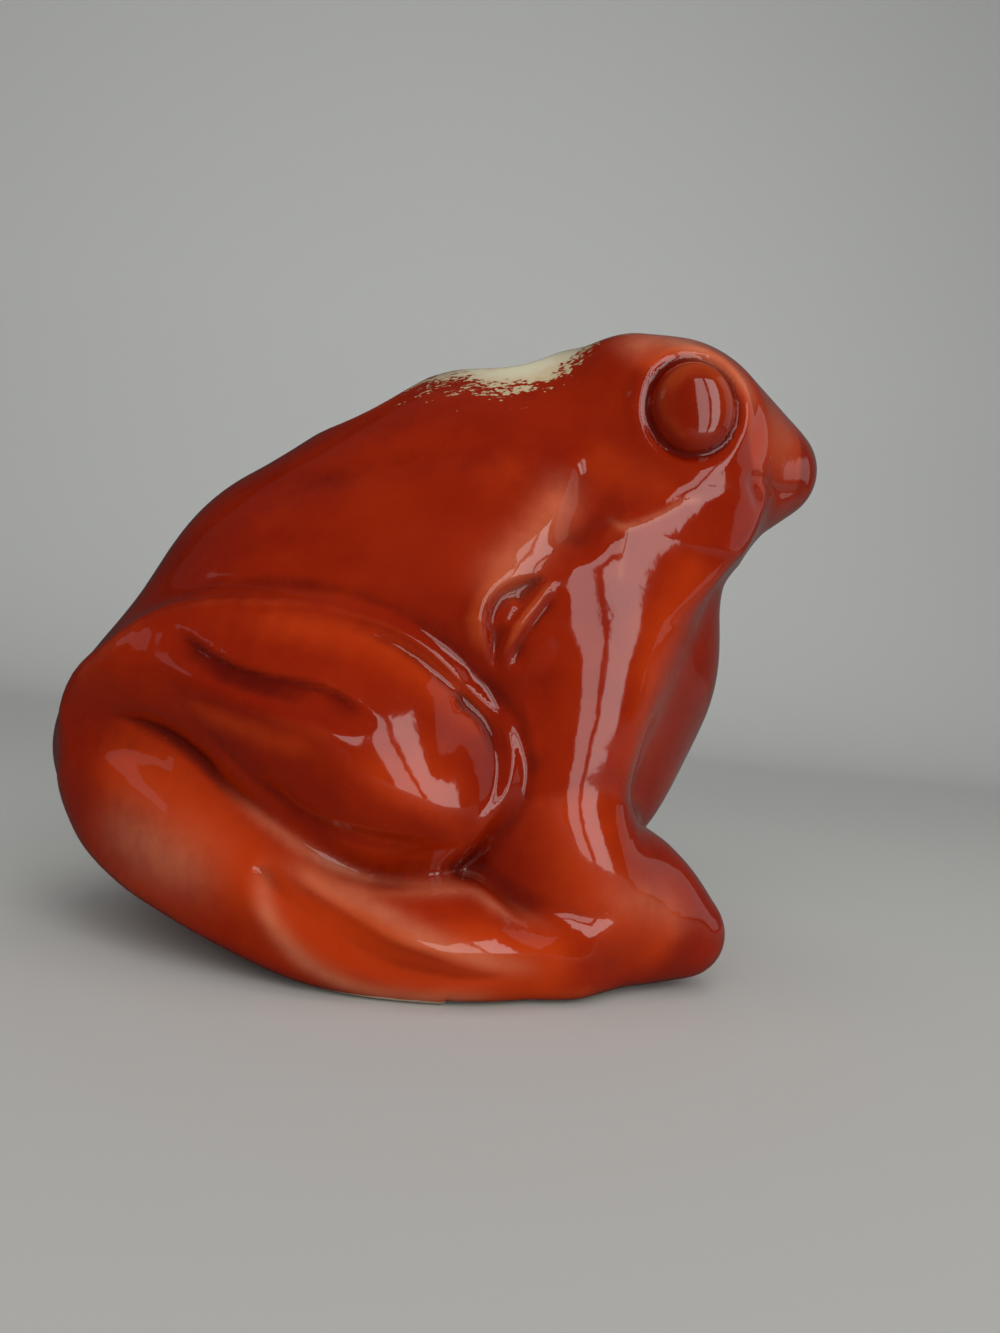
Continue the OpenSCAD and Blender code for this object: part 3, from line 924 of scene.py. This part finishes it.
class Nodes:
    """Short calls for building a material."""

    def __init__(self, tree):
        self.tree = tree

    def fill(self, node, inputs):
        """Sets or links a node's inputs, by name or number."""
        for key, source in inputs.items():
            if isinstance(source, (int, float, tuple)):
                node.inputs[key].default_value = source
            else:
                self.tree.links.new(source, node.inputs[key])
        return node

    def add(self, kind, inputs=None, **settings):
        node = self.tree.nodes.new("ShaderNode" + kind)
        for key, value in settings.items():
            setattr(node, key, value)
        return self.fill(node, inputs or {})

    def attribute(self, name):
        return self.add("Attribute", attribute_name=name).outputs["Fac"]

    def math(self, operation, a, b, clamp=False):
        return self.add("Math", {0: a, 1: b}, operation=operation, use_clamp=clamp).outputs[0]

    def times(self, a, b, clamp=False):
        return self.math("MULTIPLY", a, b, clamp)

    def plus(self, first, *others, clamp=False):
        for other in others:
            first = self.math("ADD", first, other, clamp)
        return first

    def minus(self, a, b, clamp=False):
        return self.math("SUBTRACT", a, b, clamp)

    def swing(self, noise, size):
        """A noise of 0 to 1 as a change to either side of nothing."""
        return self.times(self.minus(noise, 0.5), size)

    def mix(self, factor, a, b):
        inputs = {"Factor": factor, "A": a, "B": b}
        return self.add("Mix", inputs, data_type="RGBA").outputs["Result"]

    def ramp(self, factor, low, high, kind="SMOOTHSTEP"):
        """0 below low, 1 above high, and a smooth or linear rise between them."""
        inputs = {"Value": factor, "From Min": low, "From Max": high}
        return self.add("MapRange", inputs, interpolation_type=kind).outputs["Result"]

    def stain(self, base, tint, factor, low, high, most):
        """A base that turns to a tint, at most this far, while a factor goes from low to high."""
        return self.mix(self.times(self.ramp(factor, low, high), most), base, tint)

    def noise(self, place, scale, detail, rough, stretch=None):
        if stretch:
            place = self.add("Mapping", {"Vector": place, "Scale": stretch}).outputs[0]
        inputs = {"Vector": place, "Scale": scale, "Detail": detail, "Roughness": rough}
        return self.add("TexNoise", inputs).outputs["Fac"]


def colour(r, g, b):
    """A colour given as it looks on a screen, 0 to 255."""
    out = []
    for v in (r, g, b):
        v = v / 255
        out.append(v / 12.92 if v <= 0.04045 else ((v + 0.055) / 1.055) ** 2.4)
    return (*out, 1.0)


RED_MIDDLE = colour(157, 36, 1)
RED_DEEP = colour(134, 23, 0)
# the darkest red: glaze pooled in hollows, painted shade, and the eyes' darker tint
RED_DARKEST = colour(86, 7, 0)
ORANGE_BODY = colour(192, 58, 8)
ORANGE_EDGE = colour(204, 88, 38)
# the pink of the painted highlights
PINK_HIGHLIGHT = colour(222, 138, 102)
CREAM = colour(226, 220, 190)
CREAM_SHADE = colour(196, 178, 140)
CLAY = colour(206, 190, 164)
CLAY_SPECK = colour(150, 126, 100)
# Noises: how many a metre, detail, roughness and, for two of them, the stretch along x, y and z
CLOUDS = (60.0, 4.0, 0.6)
MOTTLE = (420.0, 3.0, 0.6)
GRAIN = (2600.0, 2.0, 0.5)
STREAKS = (900.0, 3.0, 0.65, (0.30, 1.0, 0.55))
SPATTER = (2400.0, 2.0, 0.6, (0.6, 1.0, 1.0))
PEEL = (700.0, 2.0, 0.5)
WAVES = (160.0, 2.0, 0.5)
PINHOLES = 190.0
PINHOLE_R = 0.055
# Heights of the fine relief in millimetres
PEEL_MM = 0.012
WAVES_MM = 0.05
PINHOLES_MM = 0.05
CREAM_MM = 0.05
CLAY_MM = 0.10
# Roughness of the glaze, and what its mottling, the cream and bare clay add
GLAZE_ROUGH = 0.055
MOTTLE_ROUGH = 0.04
CREAM_ROUGH = 0.12
CLAY_ROUGH = 0.62
GLAZE_IOR = 1.52
COAT = 0.35
COAT_ROUGH = 0.03
COAT_IOR = 1.5
EYE_TINT = 0.75
# The red: how much clouds and mottling shift it, how much fine and broad hollows and the painted shade
# count, between which clouds it darkens, and the painted highlights' least pink, mottling and strength
CLOUD_SHIFT = 0.5
MOTTLE_SHIFT = 0.35
FINE_HOLLOWS = 0.4
BROAD_HOLLOWS = 0.6
SHADE_SHARE = 0.55
DARK_CLOUDS = (0.3, 0.7)
HIGHLIGHT_LEAST = 0.45
HIGHLIGHT_MOTTLE = 0.9
HIGHLIGHT_STRENGTH = 0.62
# The cream: the shares of streaks and spatter in its ragged edge, their range, how far the cream reaches
# past them, how sharply it ends, and where it is solid
STREAK_SHARE = 0.55
SPATTER_SHARE = 0.45
RAGGED = (0.32, 0.68)
CREAM_REACH = 1.1
CREAM_ENDS = (0.0, 0.14)
CREAM_SOLID = (0.45, 0.95)
# The bare clay: how much mottling shifts its edge, and where that lies
BARE_MOTTLE = 0.4
BARE_EDGE = (0.4, 0.6)
# Stains: where the factor starts, where it is full, and how strong the stain is there
# the thin glaze's orange with painted sheen, and pooling with painted shade
THIN_AND_SHEEN_STAIN = (0.0, 0.9, 0.85)
POOL_AND_SHADE_STAIN = (0.04, 0.75, 0.85)
EDGE_STAIN = (0.25, 0.95, 0.45)
SPECK_STAIN = (0.62, 0.8, 0.12)
CREAM_STAIN = (0.45, 0.7, 0.15)
LINING_STAIN = (0.45, 0.75, 0.35)
CLAY_SPECK_STAIN = (0.55, 0.7, 0.6)
CLAY_CLOUD_STAIN = (0.4, 0.7, 0.3)


def red_glaze(n, cloud, mottle, grain):
    """Glaze runs off edges, where it is orange, and gathers in hollows, where it is dark; painted shade
    darkens the deep places and painted highlights lie pink on the ridges.
    """
    clouding, mottling = n.swing(cloud, CLOUD_SHIFT), n.swing(mottle, MOTTLE_SHIFT)
    thin_glaze_and_light = n.attribute("thin_glaze_and_light")
    fine, broad = n.attribute("hollow_fine"), n.attribute("hollow_broad")
    hollow = n.plus(n.times(fine, FINE_HOLLOWS), n.times(broad, BROAD_HOLLOWS))
    # painted shade: the dark places of the sheet darken the red further
    painted_shade = n.times(n.math("MINIMUM", thin_glaze_and_light, 0), SHADE_SHARE)
    pool_and_shade = n.minus(n.plus(hollow, clouding, mottling), painted_shade)
    body = n.plus(thin_glaze_and_light, clouding, mottling)
    red = n.mix(n.ramp(cloud, *DARK_CLOUDS), RED_MIDDLE, RED_DEEP)
    # orange where the glaze ran thin, and painted sheen
    red = n.stain(red, ORANGE_BODY, body, *THIN_AND_SHEEN_STAIN)
    # dark where the glaze gathers in hollows, and painted shade
    red = n.stain(red, RED_DARKEST, pool_and_shade, *POOL_AND_SHADE_STAIN)
    red = n.stain(red, ORANGE_EDGE, n.times(pool_and_shade, -1), *EDGE_STAIN)
    # painted highlights: pale pink along the ridges
    painted_highlight = n.times(n.attribute("painted_highlight"), n.plus(HIGHLIGHT_LEAST, n.times(mottle, HIGHLIGHT_MOTTLE)))
    red = n.mix(n.times(painted_highlight, HIGHLIGHT_STRENGTH, clamp=True), red, PINK_HIGHLIGHT)
    return n.stain(red, ORANGE_EDGE, grain, *SPECK_STAIN)


def cream_glaze(n, place, mottle):
    """Where the cream covers the red, in streaks and spatters at its edges, and its colour."""
    cream = n.attribute("cream")
    streaks, spatter = n.noise(place, *STREAKS), n.noise(place, *SPATTER)
    ragged = n.plus(n.times(streaks, STREAK_SHARE), n.times(spatter, SPATTER_SHARE))
    edge = n.ramp(ragged, *RAGGED, "LINEAR")
    cover = n.ramp(n.minus(n.times(cream, CREAM_REACH), edge), *CREAM_ENDS)
    shade = n.mix(n.ramp(cream, *CREAM_SOLID), CREAM_SHADE, CREAM)
    return cover, n.stain(shade, ORANGE_EDGE, mottle, *CREAM_STAIN)


def bare_clay(n, cloud, mottle, grain):
    """Where the clay is bare, and its colour."""
    bare = n.ramp(n.plus(n.attribute("bare"), n.swing(mottle, BARE_MOTTLE)), *BARE_EDGE)
    clay = n.stain(CLAY, CLAY_SPECK, grain, *CLAY_SPECK_STAIN)
    return bare, n.stain(clay, CLAY_SPECK, cloud, *CLAY_CLOUD_STAIN)


def fine_relief(n, place, grain, cover, bare):
    """The glaze's orange peel and pinholes, the cream's thickness and the clay's grain."""
    pits = n.add("TexVoronoi", {"Vector": place, "Scale": PINHOLES}, feature="F1")
    height = n.plus(
        n.times(n.noise(place, *PEEL), PEEL_MM), n.times(n.noise(place, *WAVES), WAVES_MM),
        n.times(n.ramp(pits.outputs["Distance"], 0.0, PINHOLE_R), PINHOLES_MM),
        n.times(cover, CREAM_MM), n.times(n.times(grain, bare), CLAY_MM))
    return n.add("Bump", {"Strength": 1.0, "Distance": MM, "Height": height}).outputs[0]


def ceramic(name, tint=1.0):
    """Red glaze, cream on the back and inside, bare clay underneath. A tint under 1 is darker."""
    material = bpy.data.materials.new(name)
    material.use_nodes = True
    tree = material.node_tree
    tree.nodes.clear()
    n = Nodes(tree)
    place = n.add("TexCoord").outputs["Object"]
    cloud, mottle, grain = [n.noise(place, *kind) for kind in (CLOUDS, MOTTLE, GRAIN)]
    red = red_glaze(n, cloud, mottle, grain)
    if tint < 1:
        red = n.mix(1 - tint, red, RED_DARKEST)
    cover, cream = cream_glaze(n, place, mottle)
    lining = n.stain(CREAM, CREAM_SHADE, mottle, *LINING_STAIN)
    glazed = n.mix(n.attribute("inner"), n.mix(cover, red, cream), lining)
    bare, clay = bare_clay(n, cloud, mottle, grain)
    rough = n.plus(GLAZE_ROUGH, n.times(mottle, MOTTLE_ROUGH), n.times(cover, CREAM_ROUGH))
    bumps = fine_relief(n, place, grain, cover, bare)
    shader = n.add("BsdfPrincipled", {
        "Base Color": n.mix(bare, glazed, clay),
        "Roughness": n.plus(rough, n.times(bare, CLAY_ROUGH), clamp=True),
        "IOR": GLAZE_IOR,
        "Coat Weight": n.minus(COAT, n.times(bare, COAT), clamp=True),
        "Coat Roughness": COAT_ROUGH,
        "Coat IOR": COAT_IOR,
        "Normal": bumps,
        "Coat Normal": bumps,
    })
    n.add("OutputMaterial", {"Surface": shader.outputs[0]})
    return material


def make_glazes():
    """A material for each of the record's slots."""
    return {
        "red_glaze": ceramic("Red glaze"),
        "red_glaze_deep": ceramic("Red glaze, eyes", EYE_TINT),
        "cream_glaze": ceramic("Cream glaze over red"),
        "bare_clay": ceramic("Bare clay"),
    }


# Camera, lights and floor, in metres. Azimuth 0 is the photographed side, at -y, and 90 the front.
AIM = Vector((0.0067, 0.0, 0.034))
CAMERA_AZIMUTH = -6.0
CAMERA_ELEVATION = -1.0
CAMERA_DISTANCE = 0.130
CAMERA_ROLL = 6.0
LENS = 37.44
SENSOR = 36.0
CAMERA_NEAR = 0.01
# Each light's azimuth, elevation, distance, width, height, watts, colour, roll, shift to its side, and
# whether the glaze mirrors it. The gap between the window's two panes is the stripe on the foreleg.
LIGHTS = {
    "window_left_pane": (30, 12, 0.50, 0.106, 0.50, 0.32, (1, 0.96, 0.93), 6, -0.070, True),
    "window_right_pane": (30, 12, 0.50, 0.112, 0.50, 0.44, (1, 0.96, 0.93), 6, 0.068, True),
    "bright_wall": (86, 24, 0.62, 0.52, 0.56, 0.30, (1, 0.97, 0.94), 0, 0, True),
    "window_far": (-74, 24, 0.60, 0.30, 0.14, 0.035, (0.93, 0.95, 1), 0, 0, True),
    "top_light": (10, 80, 0.80, 0.60, 0.60, 1.2, (1, 0.98, 0.95), 0, 0, False),
    "soft_fill": (0, 30, 1.00, 1.20, 0.80, 5.6, (1, 0.98, 0.96), 0, 0, False),
}
ROOM_COLOUR = (0.80, 0.82, 0.86, 1.0)
ROOM_LIGHT = 0.16
ROOM_IN_GLAZE = 0.05
FLOOR_HALF = 1.4
FLOOR_PALE = (0.60, 0.61, 0.59, 1.0)
SWEEP_PALE = (0.86, 0.88, 0.86, 1.0)
FLOOR_ROUGH = 0.75
# The floor as the glaze mirrors it, brighter beside the windows
FLOOR_DIM = (0.06, 0.06, 0.06, 1.0)
FLOOR_LIT = (0.24, 0.23, 0.22, 1.0)
FLOOR_LIT_X = 0.12
# Behind the frog the floor sweeps up: where from, its radius, steps and top, and where it gets paler
SWEEP_AT = 0.45
SWEEP_R = 0.35
SWEEP_STEPS = 24
SWEEP_TOP = 1.6
PALER_FROM, PALER_TO = 0.15, 0.75


def placed(azimuth, elevation, distance, roll, shift=0.0):
    """The matrix of a camera or light that looks at AIM, rolled and shifted to its side."""
    a, e = np.radians(azimuth), np.radians(elevation)
    out = Vector((np.sin(a) * np.cos(e), -np.cos(a) * np.cos(e), np.sin(e)))
    right = (-out).cross(Vector((0, 0, 1))).normalized()
    up = right.cross(-out)
    turn = np.radians(roll)
    across = right * np.cos(turn) + up * np.sin(turn)
    upright = up * np.cos(turn) - right * np.sin(turn)
    place = Matrix((across, upright, out)).transposed().to_4x4()
    place.translation = AIM + out * distance + across * shift
    return place


def place_camera():
    data = bpy.data.cameras.new("camera")
    data.lens = LENS
    data.sensor_width = SENSOR
    data.sensor_fit = "HORIZONTAL"
    data.clip_start = CAMERA_NEAR
    camera = put("camera", data)
    camera.matrix_world = placed(CAMERA_AZIMUTH, CAMERA_ELEVATION, CAMERA_DISTANCE, CAMERA_ROLL)
    scene.camera = camera


def light_studio():
    for name, light in LIGHTS.items():
        azimuth, elevation, distance, width, height, watts, tint, roll, shift, mirrored = light
        data = bpy.data.lights.new(name, "AREA")
        data.shape = "RECTANGLE"
        data.size = width
        data.size_y = height
        data.energy = watts
        data.color = tint
        lamp = put(name, data)
        lamp.matrix_world = placed(azimuth, elevation, distance, roll, shift)
        lamp.visible_camera = False
        lamp.visible_glossy = mirrored


def light_room():
    """The world's light, which the glaze mirrors as a dimmer room."""
    world = bpy.data.worlds.new("studio")
    scene.world = world
    world.use_nodes = True
    n = Nodes(world.node_tree)
    in_glaze = n.add("LightPath").outputs["Is Glossy Ray"]
    strength = n.plus(ROOM_LIGHT, n.times(in_glaze, ROOM_IN_GLAZE - ROOM_LIGHT))
    n.fill(n.tree.nodes["Background"], {"Color": ROOM_COLOUR, "Strength": strength})


def floor_paint():
    """Pale to the camera, paler up the sweep, and dimmer in the glaze."""
    material = bpy.data.materials.new("Pale floor")
    material.use_nodes = True
    n = Nodes(material.node_tree)
    place = n.add("SeparateXYZ", {0: n.add("TexCoord").outputs["Object"]})
    seen = n.mix(n.ramp(place.outputs["Y"], PALER_FROM, PALER_TO), FLOOR_PALE, SWEEP_PALE)
    mirrored = n.mix(n.ramp(place.outputs["X"], 0.0, FLOOR_LIT_X), FLOOR_DIM, FLOOR_LIT)
    in_glaze = n.add("LightPath").outputs["Is Glossy Ray"]
    base = n.mix(in_glaze, seen, mirrored)
    n.fill(n.tree.nodes["Principled BSDF"], {"Base Color": base, "Roughness": FLOOR_ROUGH})
    return material


def lay_floor():
    """A pale floor that sweeps up behind the frog."""
    profile = [(-FLOOR_HALF, 0), (SWEEP_AT, 0)]
    for step in range(1, SWEEP_STEPS + 1):
        turn = np.radians(90 * step / SWEEP_STEPS)
        profile.append((SWEEP_AT + SWEEP_R * np.sin(turn), SWEEP_R * (1 - np.cos(turn))))
    profile.append((SWEEP_AT + SWEEP_R, SWEEP_TOP))
    verts = [(x, y, z) for y, z in profile for x in (-FLOOR_HALF, FLOOR_HALF)]
    faces = [(2 * i, 2 * i + 1, 2 * i + 3, 2 * i + 2) for i in range(len(profile) - 1)]
    mesh = bpy.data.meshes.new("floor")
    mesh.from_pydata(verts, [], faces)
    mesh.polygons.foreach_set("use_smooth", np.ones(len(faces), bool))
    mesh.materials.append(floor_paint())
    put("floor", mesh)


model_frog(make_glazes())
lay_floor()
light_studio()
light_room()
place_camera()
scene.view_settings.view_transform = "Standard"
